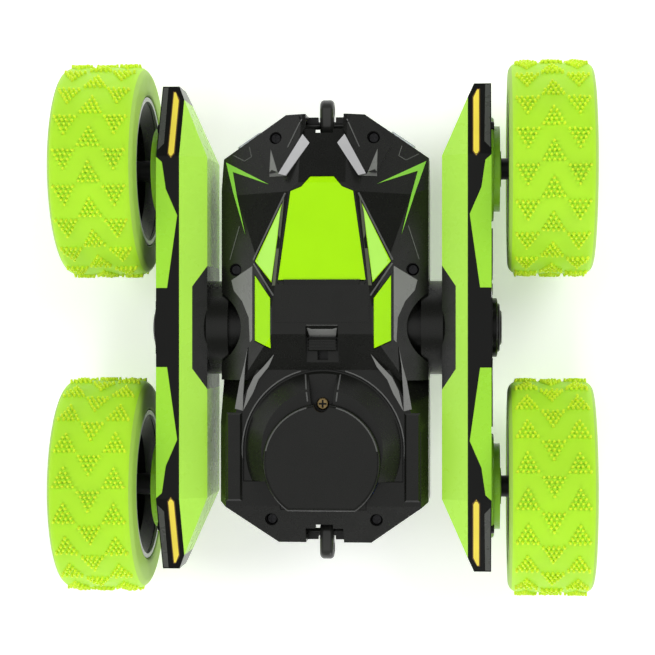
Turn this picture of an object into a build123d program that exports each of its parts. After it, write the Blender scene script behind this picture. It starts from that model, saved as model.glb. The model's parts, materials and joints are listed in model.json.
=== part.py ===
from build123d import *
import math
import os

# RC stunt car: a flat body between two arms that turn about the car's middle, two wheels on each arm.
# Millimetres. X is across the car, -Y is the front, +Y the battery end, +Z the battery door side.
# Every piece is modelled about the car's centre and lifted by TYRE_R when it is written, so the origin
# is on the ground under the middle of the car. The left side is at +X; the right side is the same
# assembly turned half a turn about Z.

# ---- driving dimensions ----
TYRE_R = 33.5            # wheel radius over the tread
TYRE_IN_X = 55.8         # inner sidewall of the tyre
TYRE_OUT_X = 81.8        # outer sidewall of the tyre
TYRE_BORE_R = 23.4
AXLE_Y = 49.0            # half the wheelbase
RUN_GAP = 0.05           # radial clearance of a shaft in its bore

BODY_HALF_W = 31.7
BODY_FRONT_Y = -65.3
BODY_REAR_Y = 65.8
SPINE_Z = 22.0           # top of the body's spine
DECK_Z = 17.0            # deck round the battery door
WALL = 2.0               # body wall
PANEL_T = 1.2            # thickness of the lime panels

ARM_IN_X = 35.8
ARM_RIDGE_X = 43.6       # where the inner shell meets the outer cover
ARM_OUT_X = 50.7
ARM_HALF_H = 19.0
ARM_HALF_L = 74.7
ARM_BEVEL_Z = 13.5       # where the bevel meets the arm's inner face
ARM_TAPER_Y = 52.0       # where the arm's ends start to slope down
ARM_END_Z = 6.5          # half height of the arm at its very ends
ARM_WALL_IN = 1.6
ARM_WALL_OUT = 2.6
INLAY_T = 1.2            # thickness of the lime axle covers on the arm

HUB_SCALLOP_R = 15.3     # cut in the body round the hub
HUB_WALL_X = 21.5        # outside of the bearing wall in the body
HUB_JOURNAL_R = 5.45
DRIVE_SHAFT_R = 2.0

GEAR_X0, GEAR_X1 = 42.0, 46.0            # gear layer inside the arm
CENTRE_TEETH, IDLER_TEETH, WHEEL_TEETH = 22, 26, 24
ARM_MODULE = 1.0
PINION_TEETH, REDUCTION_TEETH, STEP_TEETH, OUTPUT_TEETH = 10, 30, 10, 32
BODY_MODULE = 0.5
MOTOR_R = 10.0
MOTOR_Y = -18.0
MOTOR_FRONT_X = 10.4
MOTOR_LENGTH = 25.0
MOTOR_SHAFT_R = 1.0
BIG = 300.0              # larger than the whole car, for cutting tools

DOOR_R = 24.0            # round front edge of the battery door
DOOR_Y = 36.8
DOOR_SIDE_Y = 46.4       # where the door's straight sides end
DOOR_REAR_Y = 55.0
DOOR_TAB_HALF_W = 12.9
DOME_R = 17.7
DOME_Y = 40.5
DOME_Z = 24.0
HOOD_Z = 23.0            # top of the fixed hood on the other face
DOOR_T = 1.4
DOOR_GAP = 0.25
DOOR_SCREW_Y = 23.0

FRONT_PIVOT_Y, FRONT_EYE_Y = -62.8, -67.4
REAR_PIVOT_Y, REAR_EYE_Y = 63.6, 68.6
EYE_R = 1.8
RING_HALF_W = 2.2

SHELL_SCREWS = [(15.0, -57.9, 9.2), (27.0, -17.6, 11.0), (16.0, 58.4, 10.6)]   # x, y, head seat z

pieces = {}


# ---- helpers ----
def block(x0, x1, y0, y1, z0, z1):
    centre = Pos((x0 + x1) / 2, (y0 + y1) / 2, (z0 + z1) / 2)
    return centre * Box(abs(x1 - x0), abs(y1 - y0), abs(z1 - z0))


def rod(radius, x0, x1, y=0.0, z=0.0):
    """A cylinder along X."""
    return Pos((x0 + x1) / 2, y, z) * Rot(0, 90, 0) * Cylinder(radius, abs(x1 - x0))


def post(radius, x, y, z0, z1):
    """A cylinder along Z."""
    return Pos(x, y, (z0 + z1) / 2) * Cylinder(radius, abs(z1 - z0))


def prism(points, z0, z1):
    """A plan outline (x, y) raised from z0 to z1."""
    outline = make_face(Polyline(*points, close=True))
    return Pos(0, 0, z0) * extrude(outline, amount=z1 - z0, dir=(0, 0, 1))


def side_prism(points, x0, x1):
    """A side outline (y, z) taken from x0 to x1."""
    corners = [(x0, y, z) for y, z in points]
    return extrude(make_face(Polyline(*corners, close=True)), amount=x1 - x0, dir=(1, 0, 0))


def turned(points):
    """A profile of (x, radius) points turned about the X axis."""
    profile = make_face(Polyline(*points, close=True))
    return revolve(profile, Axis.X, 360)


def both(shape):
    """The shape and its mirror image across the car."""
    return shape + mirror(shape, Plane.YZ)


def mirrored_points(points, sx=1, sy=1):
    return [(sx * p[0], sy * p[1]) + tuple(p[2:]) for p in points]


def carve(solid, points, inset=0.0, inside=(0, 0, 0)):
    """Cut a solid by the plane through three points and keep the side that holds `inside`."""
    a, b, c = [Vector(*p) for p in points]
    normal = (b - a).cross(c - a).normalized()
    if normal.dot(a - Vector(*inside)) < 0:
        normal = normal * -1
    return split(solid, Plane(origin=a - normal * inset, z_dir=normal), keep=Keep.BOTTOM)


# ---- gears ----
def spur_gear(teeth, module, x0, x1, y, z, tooth_at):
    """A straight gear with slim teeth; one tooth points at the angle tooth_at, from +Y towards +Z."""
    pitch_r = teeth * module / 2
    tip_r = pitch_r + 0.8 * module
    root_r = pitch_r - 1.1 * module
    pitch = 2 * math.pi / teeth
    corners = []
    for number in range(teeth):
        middle = math.radians(tooth_at) + number * pitch
        for radius, share in ((root_r, -0.24), (tip_r, -0.08), (tip_r, 0.08), (root_r, 0.24)):
            angle = middle + share * pitch
            corners.append((y + radius * math.cos(angle), z + radius * math.sin(angle)))
    return side_prism(corners, x0, x1)


def mate_angle(angle, teeth):
    """Where a mating gear has a tooth, when the other gear's tooth points at it along `angle`."""
    return angle + 180 + 180 / teeth


# ---- body ----
def octagon_cuts(solid, inset, inside):
    for side in (1, -1):
        front = [(side * 12.1, BODY_FRONT_Y, 0), (side * 12.1, BODY_FRONT_Y, 9),
                 (side * BODY_HALF_W, -52, 0)]
        rear = [(side * 14.2, BODY_REAR_Y, 0), (side * 14.2, BODY_REAR_Y, 9), (side * BODY_HALF_W, 53, 0)]
        solid = carve(solid, front, inset, inside)
        solid = carve(solid, rear, inset, inside)
    return solid


def front_form(inset=0.0):
    """The faceted front and middle of the body, above the parting plane."""
    form = block(-BODY_HALF_W + inset, BODY_HALF_W - inset, BODY_FRONT_Y + inset, 16, 0, SPINE_Z - inset)
    form = octagon_cuts(form, inset, (0, 0, 0))
    nose = [(-5, -43.5, SPINE_Z), (5, -43.5, SPINE_Z), (0, BODY_FRONT_Y, 11)]
    ramp = [(-5, 2, SPINE_Z), (5, 2, SPINE_Z), (0, 12.8, DECK_Z)]
    form = carve(form, nose, inset)
    form = carve(form, ramp, inset)
    for side in (1, -1):
        facet = [(side * 9.9, -41.3, SPINE_Z), (side * 14.2, -12, SPINE_Z), (side * 20.9, -19.8, 18.4)]
        flank = [(side * 15.1, -8, SPINE_Z), (side * 15.1, 8, SPINE_Z), (side * BODY_HALF_W, 0, 11)]
        corner = [(side * BODY_HALF_W, -52, 6), (side * 12.1, BODY_FRONT_Y, 8.5), (side * 15, -44, 18)]
        form = carve(form, facet, inset)
        form = carve(form, flank, inset)
        form = carve(form, corner, inset)
    return form


def rear_form(inset=0.0):
    """The broad rear of the body that carries the battery door, above the parting plane."""
    inside = (0, 40, 0)
    form = block(-BODY_HALF_W + inset, BODY_HALF_W - inset, 2, BODY_REAR_Y - inset, 0, DECK_Z - inset)
    form = octagon_cuts(form, inset, inside)
    tail = [(-5, 54, DECK_Z), (5, 54, DECK_Z), (0, BODY_REAR_Y, 9.5)]
    form = carve(form, tail, inset, inside)
    for side in (1, -1):
        ramp = [(side * 20.5, 13.6, DECK_Z), (side * 26.2, 24.9, DECK_Z), (side * 31.7, 22, 9)]
        edge = [(side * 29.6, 0, DECK_Z), (side * 29.6, 9, DECK_Z), (side * BODY_HALF_W, 0, 13)]
        form = carve(form, ramp, inset, inside)
        form = carve(form, edge, inset, inside)
    return form


def hub_scallops(grow=0.0):
    cut = rod(HUB_SCALLOP_R + grow, HUB_WALL_X - grow, BODY_HALF_W + 5)
    return both(cut)


CENTRE_PANEL = [(-3.6, -45.5), (3.6, -45.5), (6.2, -42.4), (9.6, -41.0), (13.4, -13.9), (-13.4, -13.9),
                (-9.6, -41.0), (-6.2, -42.4)]
UPPER_TRIANGLE = [(11.9, -37.8), (20.7, -19.9), (15.2, -13.2)]
LOWER_QUAD = [(20.7, -16.2), (15.5, -9.0), (15.5, 6.6), (20.7, 4.2)]


def panel_outlines():
    outlines = [CENTRE_PANEL]
    for side in (1, -1):
        outlines.append(mirrored_points(UPPER_TRIANGLE, sx=side))
        outlines.append(mirrored_points(LOWER_QUAD, sx=side))
    return outlines


def shrink(points, gap):
    """An outline drawn in towards its own middle, so each panel clears its pocket."""
    cx = sum(p[0] for p in points) / len(points)
    cy = sum(p[1] for p in points) / len(points)
    reach = max(math.hypot(p[0] - cx, p[1] - cy) for p in points)
    scale = 1 - 1.6 * gap / reach
    return [(cx + (x - cx) * scale, cy + (y - cy) * scale) for x, y in points]


def green_panels():
    skin = front_form(0.15) - front_form(PANEL_T)
    tiles = []
    for outline in panel_outlines():
        tile = prism(shrink(outline, 0.3), 1, SPINE_Z + 5) & skin
        tiles.extend(tile.solids())
    return Compound(children=tiles)


def body_blank():
    outer = front_form() + rear_form() - hub_scallops()
    cavity = front_form(WALL) + rear_form(WALL) - hub_scallops(WALL)
    return outer, cavity


def nose_pads():
    """Raised triangular pads either side of the tow ring, cut off by the nose's own slope."""
    outline = [(8.2, -65.0), (14.8, -62.6), (20.5, -55.5), (16.2, -46.6), (12.8, -47.0), (6.0, -60.2)]
    lifted = prism(outline, 6, 30)
    skin = front_form(-0.9) - front_form(0.5)
    return both(lifted & skin)


def rear_blocks():
    bar = block(24.6, 29.4, 25.8, 52.6, DECK_Z - 1, DECK_Z + 0.9)
    bar = chamfer(bar.edges().group_by(Axis.Z)[-1], 0.6)
    return both(bar)


def tow_slot(pivot_y, out_y):
    """Through slot for a tow ring, with open pockets over its cross axle."""
    back = pivot_y + 3.6 * (1 if pivot_y < 0 else -1)
    slot = block(-2.7, 2.7, back, out_y, -20, 20)
    low, high = sorted((pivot_y + 2.3 * (1 if pivot_y < 0 else -1), out_y))
    pocket = block(-5.8, 5.8, low, high, 1.5, 20) + block(-5.8, 5.8, low, high, -20, -1.5)
    axle = rod(1.2 + RUN_GAP, -7.4, 7.4, pivot_y)
    return slot + pocket + axle


def body_holes(above):
    """Screw holes through the upper shell, or pilot holes in the lower one."""
    cut = None
    for x, y, seat in SHELL_SCREWS:
        if above:
            hole = post(1.15, x, y, -1, seat + 1) + post(1.95, x, y, seat, 30)
        else:
            hole = post(1.0 + RUN_GAP, x, y, -9, 1)
        cut = both(hole) if cut is None else cut + both(hole)
    return cut


def screw_posts(radius):
    posts = None
    for x, y, seat in SHELL_SCREWS:
        one = both(post(radius, x, y, 0, 22))
        posts = one if posts is None else posts + one
    return posts


def lens_outline(grow=0.0, depth=1.7):
    """Headlight set in the front corner wall: a rounded block that lies square to that wall."""
    angle = math.degrees(math.atan2(13.3, 19.6))
    wall_middle = Vector(23.6, -57.5, 3.2)
    blank = Box(8.6 + 2 * grow, 2 * depth, 4.4 + 2 * grow)
    blank = fillet(blank.edges().filter_by(Axis.Y), 1.3)
    return Pos(wall_middle) * Rot(0, 0, angle) * Pos(0, 0.9, 0) * blank


def battery_outline(grow=0.0):
    """Plan of the battery door: round in front, straight at the sides, narrow behind."""
    front = Pos(0, DOOR_Y) * Circle(DOOR_R + grow)
    side_length, tab_length = DOOR_SIDE_Y - DOOR_Y, DOOR_REAR_Y - DOOR_SIDE_Y
    sides = Pos(0, DOOR_Y + side_length / 2) * Rectangle(2 * (DOOR_R + grow), side_length + 2 * grow)
    dome = Pos(0, DOME_Y) * Circle(DOME_R + grow)
    tab = Rectangle(2 * (DOOR_TAB_HALF_W + grow), tab_length + 2 * grow)
    tab = Pos(0, DOOR_SIDE_Y + tab_length / 2) * tab
    behind = Pos(0, DOOR_SIDE_Y + grow + 50) * Rectangle(200, 100)
    past = Pos(0, DOOR_REAR_Y + grow + 50) * Rectangle(200, 100)
    return front + sides - behind + (dome + tab - past)


def door_solid(low, high, grow=0.0):
    return Pos(0, 0, low) * extrude(battery_outline(grow), amount=high - low)


def upper_shell():
    outer, cavity = body_blank()
    ledge = door_solid(13.4, DECK_Z - 0.1, 1.6) & outer
    tub = block(-7, 7, -2.5, 12.4, 16.2, 21) & outer
    tray = block(-19.8, 19.8, 28.4, 55, 2, 15) & outer
    door_boss = post(3, 0, DOOR_SCREW_Y, 10.8, 15)
    shell = outer - cavity + ledge + tub + tray + door_boss
    shell += (screw_posts(3.2) & outer) - hub_scallops()
    shell += nose_pads() + rear_blocks()
    shell -= block(-18, 18, 30.2, 53.2, 3.8, DECK_Z - DOOR_T)
    shell -= door_solid(DECK_Z - DOOR_T - 0.1, 30, DOOR_GAP)
    shell -= post(1.15, 0, DOOR_SCREW_Y, 9, 16)
    for outline in panel_outlines():
        shell -= prism(outline, 1, 30) & (front_form(-1) - front_form(PANEL_T + 0.05))
    shell -= switch_recess()
    shell -= body_holes(above=True)
    shell -= rod(HUB_JOURNAL_R + RUN_GAP, -30, 30)
    shell -= tow_slot(FRONT_PIVOT_Y, -70) + tow_slot(REAR_PIVOT_Y, 70)
    shell -= both(lens_outline(0.15))
    shell -= block(-40, 40, -80, 80, -20, 0)
    return shell


def switch_recess():
    """A pocket with a sloping lead-in, and a slot in its floor for the knob's stem."""
    pocket = block(-4.9, 4.9, 3.0, 10.5, 18.0, 30)
    lead = side_prism([(-0.9, 22.5), (3.1, 18.0), (3.1, 30), (-0.9, 30)], -4.9, 4.9)
    stem = block(-1.6, 1.6, 3.8, 9.8, 10, 19)
    return pocket + lead + stem


def fixed_hood(low, skirt_top, dome_top, inset=0.0):
    """Round hood on the other face, where the battery door is on this one."""
    foot_r, head_r = DOOR_R - 0.4 - inset, DOME_R + 0.8 - inset
    skirt = Pos(0, DOOR_Y, (low + skirt_top) / 2) * Cone(foot_r, head_r, skirt_top - low)
    skirt -= block(-60, 60, DOOR_SIDE_Y - inset, 90, 0, 40)
    dome = post(DOME_R - inset, 0, DOME_Y, low, dome_top)
    dome -= block(-60, 60, DOOR_REAR_Y - inset, 90, 0, 40)
    return skirt + dome


def lower_shell():
    outer, cavity = body_blank()
    hood = fixed_hood(DECK_Z - 0.5, 20.4, HOOD_Z)
    hood = fillet(hood.edges().group_by(Axis.Z)[-1], 1.0)
    shell = outer - cavity + hood - fixed_hood(DECK_Z - 2.5, 18.4, HOOD_Z - WALL, WALL)
    shell += (screw_posts(2.8) & outer) - hub_scallops()
    shell += nose_pads() + rear_blocks()
    for outline in panel_outlines():
        shell -= prism(outline, 1, 30) & (front_form(-1) - front_form(PANEL_T + 0.05))
    shell = mirror(shell, Plane.XY)
    shell += inner_frames()
    shell -= body_holes(above=False)
    shell -= rod(HUB_JOURNAL_R + RUN_GAP, HUB_WALL_X - WALL - 1, 40)
    shell -= rod(HUB_JOURNAL_R + RUN_GAP, -HUB_WALL_X + WALL + 1, -40)
    shell -= tow_slot(FRONT_PIVOT_Y, -70) + tow_slot(REAR_PIVOT_Y, 70)
    shell -= both(lens_outline(0.15))
    return shell


REDUCTION_DISTANCE_IN = (PINION_TEETH + REDUCTION_TEETH) * BODY_MODULE / 2
REDUCTION_DISTANCE_OUT = (STEP_TEETH + OUTPUT_TEETH) * BODY_MODULE / 2
REDUCTION_Y = (MOTOR_Y ** 2 + REDUCTION_DISTANCE_OUT ** 2 - REDUCTION_DISTANCE_IN ** 2) / (2 * MOTOR_Y)
REDUCTION_Z = math.sqrt(REDUCTION_DISTANCE_OUT ** 2 - REDUCTION_Y ** 2)
PLATE_X0, PLATE_X1 = 10.6, 12.0          # plate that carries one side's gears
LAYER_A = (12.4, 14.9)                   # pinion and large reduction gear
LAYER_B = (15.3, 17.5)                   # small reduction gear and output gear


def inner_frames():
    """Plates and cradles moulded in the lower shell, for the left side and turned for the right."""
    plate = block(PLATE_X0, PLATE_X1, -27, 5, -19, 11)
    plate -= rod(3.3, 5, 15, MOTOR_Y) + rod(DRIVE_SHAFT_R + RUN_GAP, 5, 15)
    pin = rod(MOTOR_SHAFT_R, PLATE_X1 - 0.5, LAYER_B[1] + 0.3, REDUCTION_Y, REDUCTION_Z)
    cradle = block(-12, 7, MOTOR_Y - 6, MOTOR_Y + 6, -20.5, -6)
    cradle -= rod(MOTOR_R + 0.02, -20, 20, MOTOR_Y)
    one = plate + pin + cradle
    frames = one + Rot(0, 0, 180) * one
    board_posts = both(post(2.0, 10, -34, -20.5, -1)) + both(post(2.0, 8, -50, -18, -1))
    return frames + board_posts


def battery_door():
    plate = door_solid(DECK_Z - DOOR_T, DECK_Z, 0)
    skirt = Pos(0, DOOR_Y, 19.2) * Cone(DOOR_R - 0.4, DOME_R + 0.6, 4.4)
    skirt -= block(-60, 60, DOOR_SIDE_Y, 90, 0, 40)
    dome = post(DOME_R, 0, DOME_Y, DECK_Z - DOOR_T, DOME_Z) - block(-60, 60, DOOR_REAR_Y, 90, 0, 40)
    dome = fillet(dome.edges().group_by(Axis.Z)[-1], 1.1)
    hollow = post(DOME_R - 1.6, 0, DOME_Y, 10, DOME_Z - 1.6) - block(-60, 60, DOOR_REAR_Y - 1.6, 90, 0, 40)
    door = plate + skirt + dome - (hollow - block(-6.4, 6.4, 10, 27, 0, 40))
    channel = prism([(-4.7, 10), (4.7, 10), (3.3, DOOR_SCREW_Y), (-3.3, DOOR_SCREW_Y)], 17.6, 40)
    door -= channel + post(2.4, 0, DOOR_SCREW_Y, 17.4, 40) + post(1.15, 0, DOOR_SCREW_Y, 10, 20)
    return door


def cross_head(radius, x, y, top, depth):
    """A Phillips recess, to be cut from a screw head that faces +Z."""
    arm = Box(radius * 1.25, radius * 0.3, 2 * depth)
    return Pos(x, y, top) * (arm + Rot(0, 0, 90) * arm)


def upright_screw(x, y, seat, tip, head_r):
    head = post(head_r, x, y, seat, seat + 1.1)
    head = fillet(head.edges().group_by(Axis.Z)[-1], 0.5)
    return head + post(1.0, x, y, tip, seat + 0.2) - cross_head(head_r, x, y, seat + 1.1, 0.6)


def sideways_screw(x0, x1, y, z, head_r, shank_r, head_t=1.1):
    """A screw that points along -X, with its head's seat at x1."""
    screw = post(head_r, 0, 0, 0, head_t)
    screw = fillet(screw.edges().group_by(Axis.Z)[-1], 0.45)
    screw += post(shank_r, 0, 0, x0 - x1, 0.2)
    screw -= Rot(0, 0, 20) * cross_head(head_r, 0, 0, head_t, 0.6)
    return Pos(x1, y, z) * Rot(0, 90, 0) * screw


def tow_ring(pivot_y, eye_y):
    """Link with an eye, on a cross axle that is moulded in one with it."""
    barrel = rod(3.2, -RING_HALF_W, RING_HALF_W, pivot_y)
    eye = rod(3.4, -RING_HALF_W, RING_HALF_W, eye_y)
    outline = [(pivot_y, -3.2), (eye_y, -3.4), (eye_y, 3.4), (pivot_y, 3.2)]
    web = side_prism(outline, -RING_HALF_W, RING_HALF_W)
    link = barrel + eye + web
    ends = link.edges().filter_by(lambda e: abs(e.center().X) > RING_HALF_W - 0.01)
    link = fillet(ends, 1.3)
    return link + rod(1.2, -7.2, 7.2, pivot_y) - rod(EYE_R, -5, 5, eye_y)


def switch_knob():
    cap = block(-4.4, 4.4, 3.3, 7.1, 18.25, 19.9)
    cap = chamfer(cap.edges().group_by(Axis.Z)[-1], 0.4)
    for number in range(3):
        cap -= block(-6, 6, 4.1 + number * 0.9, 4.5 + number * 0.9, 19.5, 22)
    return cap + block(-1.2, 1.2, 4.2, 6.2, 14.2, 18.4)


def switch_housing():
    case = block(-5.5, 5.5, 1.2, 10.9, 10.8, 15.4)
    lugs = both(block(5.5, 8.5, 3.0, 8.4, 14.3, 15.4))
    return case + lugs - block(-1.6, 1.6, 3.8, 9.8, 13.8, 20)


def circuit_board():
    board = block(-15, 15, -53, -30, -1, 0.4)
    parts = [block(-9, -2, -47, -40, 0.4, 2.0), block(3, 10, -44, -38, 0.4, 1.8),
             block(-12, -9, -36, -32, 0.4, 5.0), block(6, 11, -51.5, -48, 0.4, 3.0),
             post(1.8, 1, -34.5, 0.4, 6.5), post(1.4, 13, -34, 0.4, 5.0)]
    for part in parts:
        board += part
    return board


def battery_pack():
    cell = block(-16.6, 16.6, 31, 52.4, 4.4, 15.2)
    return fillet(cell.edges().filter_by(Axis.X), 3.0)


# ---- drive inside the body, for the left side ----
def motor():
    can = rod(MOTOR_R, MOTOR_FRONT_X - MOTOR_LENGTH, MOTOR_FRONT_X, MOTOR_Y)
    can &= block(-40, 40, MOTOR_Y - MOTOR_R, MOTOR_Y + MOTOR_R, -7.7, 7.7) + rod(
        8.6, MOTOR_FRONT_X - MOTOR_LENGTH, MOTOR_FRONT_X, MOTOR_Y)
    boss = rod(3.0, MOTOR_FRONT_X, MOTOR_FRONT_X + 1.4, MOTOR_Y)
    shaft = rod(MOTOR_SHAFT_R, MOTOR_FRONT_X, LAYER_A[1] + 0.2, MOTOR_Y)
    tail = rod(2.6, MOTOR_FRONT_X - MOTOR_LENGTH - 1.2, MOTOR_FRONT_X - MOTOR_LENGTH, MOTOR_Y)
    return can + boss + shaft + tail


PINION_TO_REDUCTION = math.degrees(math.atan2(REDUCTION_Z, REDUCTION_Y - MOTOR_Y))
REDUCTION_TO_OUTPUT = math.degrees(math.atan2(-REDUCTION_Z, -REDUCTION_Y))


def motor_pinion():
    gear = spur_gear(PINION_TEETH, BODY_MODULE, *LAYER_A, MOTOR_Y, 0, PINION_TO_REDUCTION)
    return gear - rod(MOTOR_SHAFT_R, 0, 30, MOTOR_Y)


def reduction_gear():
    large = spur_gear(REDUCTION_TEETH, BODY_MODULE, *LAYER_A, REDUCTION_Y, REDUCTION_Z,
                      mate_angle(PINION_TO_REDUCTION, REDUCTION_TEETH))
    small = spur_gear(STEP_TEETH, BODY_MODULE, LAYER_A[1], LAYER_B[1], REDUCTION_Y, REDUCTION_Z,
                      REDUCTION_TO_OUTPUT)
    return large + small - rod(MOTOR_SHAFT_R + RUN_GAP, 0, 30, REDUCTION_Y, REDUCTION_Z)


def output_gear():
    gear = spur_gear(OUTPUT_TEETH, BODY_MODULE, *LAYER_B, 0, 0,
                     mate_angle(REDUCTION_TO_OUTPUT, OUTPUT_TEETH))
    return gear - rod(DRIVE_SHAFT_R + RUN_GAP, 0, 30)


# ---- arm, for the left side ----
def arm_form(inset=0.0):
    """The arm's faceted outside, or the same form drawn in by a wall."""
    form = block(ARM_IN_X + inset, ARM_OUT_X - inset, -ARM_HALF_L + inset, ARM_HALF_L - inset,
                 -ARM_HALF_H + inset, ARM_HALF_H - inset)
    inside = (44, 0, 0)
    for up in (1, -1):
        ridge_z, bevel_z, end_z = up * ARM_HALF_H, up * ARM_BEVEL_Z, up * ARM_END_Z
        bevel = [(ARM_RIDGE_X, 0, ridge_z), (ARM_RIDGE_X, 10, ridge_z), (ARM_IN_X, 0, bevel_z)]
        form = carve(form, bevel, inset, inside)
        for end in (1, -1):
            taper_y, end_y = end * ARM_TAPER_Y, end * ARM_HALF_L
            ridge = (ARM_RIDGE_X, taper_y, ridge_z)
            taper = [ridge, (ARM_OUT_X, taper_y, ridge_z), (ARM_OUT_X, end_y, end_z)]
            corner = [ridge, (ARM_RIDGE_X, end_y, end_z), (ARM_IN_X, taper_y, bevel_z)]
            form = carve(form, taper, inset, inside)
            form = carve(form, corner, inset, inside)
    for end in (1, -1):
        diagonal = [(ARM_IN_X, end * 52, 0), (ARM_IN_X, end * 52, 9), (45.5, end * ARM_HALF_L, 0)]
        form = carve(form, diagonal, inset, inside)
    return form


ARM_BLANK = arm_form()
ARM_HOLLOW_IN = arm_form(ARM_WALL_IN) & block(0, ARM_RIDGE_X, -90, 90, -30, 30)
ARM_HOLLOW_OUT = arm_form(ARM_WALL_OUT) & block(ARM_RIDGE_X, 90, -90, 90, -30, 30)
HUB_PLATE = [(30, -27.5), (40, -12.5), (40, 12.5), (30, 27.5)]
ARM_SCREWS = [(10.7, 13.5), (-10.7, -13.5)]
COVER_SCREWS = [(61.0, 10.0), (35.0, -10.7), (-61.0, 10.0), (-35.0, -10.7)]


def arm_shell():
    shell = ARM_BLANK & block(0, ARM_RIDGE_X, -90, 90, -30, 30)
    shell -= ARM_HOLLOW_IN
    for end in (1, -1):
        shell += rod(4.5, ARM_IN_X, 41.6, end * AXLE_Y) & ARM_BLANK
        shell += rod(3.4, ARM_IN_X + 0.5, 41.7, end * 24) + rod(1.5, ARM_IN_X + 0.5, 47.4, end * 24)
    for y, z in ARM_SCREWS:
        shell += rod(2.3, 38, ARM_RIDGE_X, y, z) & ARM_BLANK
    shell -= prism(HUB_PLATE, -30, 30)
    for end in (1, -1):
        shell -= rod(DRIVE_SHAFT_R + RUN_GAP, 36.9, 50, end * AXLE_Y)
    for y, z in ARM_SCREWS:
        shell -= rod(1.05, 39, 50, y, z)
    return shell


def hub_collar():
    """Journal in the body's wall, stepped collar, and the black plate let into the arm's inner face."""
    plate = (ARM_BLANK - arm_form(ARM_WALL_IN)) & prism(HUB_PLATE, -30, 30)
    plate &= block(0, 40, -40, 40, -30, 30)
    collar = turned([(17.9, 0), (17.9, 7.8), (19.3, 7.8), (19.3, HUB_JOURNAL_R), (21.9, HUB_JOURNAL_R),
                     (21.9, 12), (29.5, 12), (29.5, 14.5), (ARM_IN_X + 0.3, 14.5), (ARM_IN_X + 0.3, 0)])
    collar += plate
    return collar - rod(DRIVE_SHAFT_R + RUN_GAP, 0, 60)


def axle_cover_blank(end, gap=0.0):
    """One lime axle cover: strips along the arm's top and bottom edges, a plate round the axle and a
    flange. With a gap, the pocket that it lies in."""
    outer = arm_form(-gap) & block(ARM_RIDGE_X - gap, 90, -90, 90, -30, 30)
    plan = [(60, 12 - gap), (47.3 - gap, 12 - gap), (44.2 - gap, 34.0), (47.7 - gap, 42.0 + gap),
            (48.9 - gap, 50.2 + gap), (50.7, 51.8 + gap), (60, 51.8 + gap)]
    strip = (outer - arm_form(INLAY_T + gap)) & prism(mirrored_points(plan, sy=end), -30, 30)
    strip -= block(40, 60, -90, 90, -16.9 + gap, 16.9 - gap)
    strip -= block(40, 60, 0, end * 20, -17.6 + gap, 17.6 - gap)
    half = [(30, 17.2 + gap), (ARM_TAPER_Y + 0.3, 17.2 + gap), (67.0 + gap, 9.1)]
    outline = [(end * y, z) for y, z in half] + [(end * y, -z) for y, z in reversed(half)]
    plate = side_prism(outline, ARM_OUT_X - 1.3 - gap, ARM_OUT_X + gap)
    plate &= rod(19.3 + gap, 40, 60, end * AXLE_Y)
    rib = turned([(ARM_OUT_X - 0.2, 14.3), (51.3, 14.3), (51.5, 14.6), (51.5, 15.4), (51.1, 15.9),
                  (ARM_OUT_X - 0.2, 15.9)])
    flange = rod(13.2, ARM_OUT_X, 53.4, end * AXLE_Y) - rod(11.4, 52.6, 60, end * AXLE_Y)
    flange += rod(5.5, 52, 53.8, end * AXLE_Y)
    return strip + plate + Pos(0, end * AXLE_Y, 0) * rib + flange


def axle_covers():
    covers = []
    for end in (1, -1):
        cover = axle_cover_blank(end) - rod(3.3 + RUN_GAP, 40, 60, end * AXLE_Y)
        for y, z in COVER_SCREWS:
            cover -= rod(1.0, 40, 60, y, z) + rod(1.7, ARM_OUT_X - 0.95, 60, y, z)
        covers.append(cover.solids().sort_by(SortBy.VOLUME)[-1])
    return Compound(children=covers)


def face_panels():
    """Raised panels on the outer face, either side of the hub cap."""
    panel = [(15.5, 2.2), (19.4, 5.6), (30, 5.6), (30, 12.6), (20, 12.6), (14.6, 7.0)]
    pads = None
    for sy in (1, -1):
        for sz in (1, -1):
            points = [(sy * y, sz * z) for y, z in panel]
            pad = side_prism(points, ARM_OUT_X - 0.4, ARM_OUT_X + 0.45)
            pads = pad if pads is None else pads + pad
    outline = [(-5.5, 13.8), (5.5, 13.8), (8.0, 17.6), (-8.0, 17.6)]
    bar = side_prism(outline, ARM_OUT_X - 0.4, ARM_OUT_X + 0.35)
    return pads + bar + mirror(bar, Plane.XY)


def arm_cover():
    cover = ARM_BLANK & block(ARM_RIDGE_X, 90, -90, 90, -30, 30)
    cover -= ARM_HOLLOW_OUT
    cover += rod(4.2, 46.4, 49, 0)
    for y, z in ARM_SCREWS:
        cover += rod(2.3, ARM_RIDGE_X, 49, y, z) & ARM_BLANK
    cover += face_panels()
    ring = turned([(ARM_OUT_X - 0.4, 12.9), (ARM_OUT_X + 0.35, 12.9), (ARM_OUT_X + 0.35, 13.9),
                   (ARM_OUT_X - 0.4, 13.9)])
    cover += ring
    for end in (1, -1):
        cover -= axle_cover_blank(end, 0.06)
        cover -= rod(3.6, 40, 60, end * AXLE_Y)
    cover -= rod(DRIVE_SHAFT_R + RUN_GAP, 40, 47.4)
    for y, z in ARM_SCREWS:
        cover -= rod(1.3, 40, 60, y, z) + rod(2.1, 49.8, 60, y, z)
    for y, z in COVER_SCREWS:
        cover -= rod(0.85, 40, 60, y, z)
    return cover.solids().sort_by(SortBy.VOLUME)[-1]


def hub_cap():
    cap = turned([(ARM_OUT_X, 0), (ARM_OUT_X, 9.15), (52.3, 9.15), (52.6, 8.9), (52.6, 8.2), (52.0, 8.0),
                  (52.0, 7.6), (53.1, 7.5), (53.4, 7.1), (53.4, 6.2), (53.0, 6.0), (53.0, 5.5), (53.6, 5.4),
                  (53.9, 5.0), (53.9, 0)])
    return cap


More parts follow.
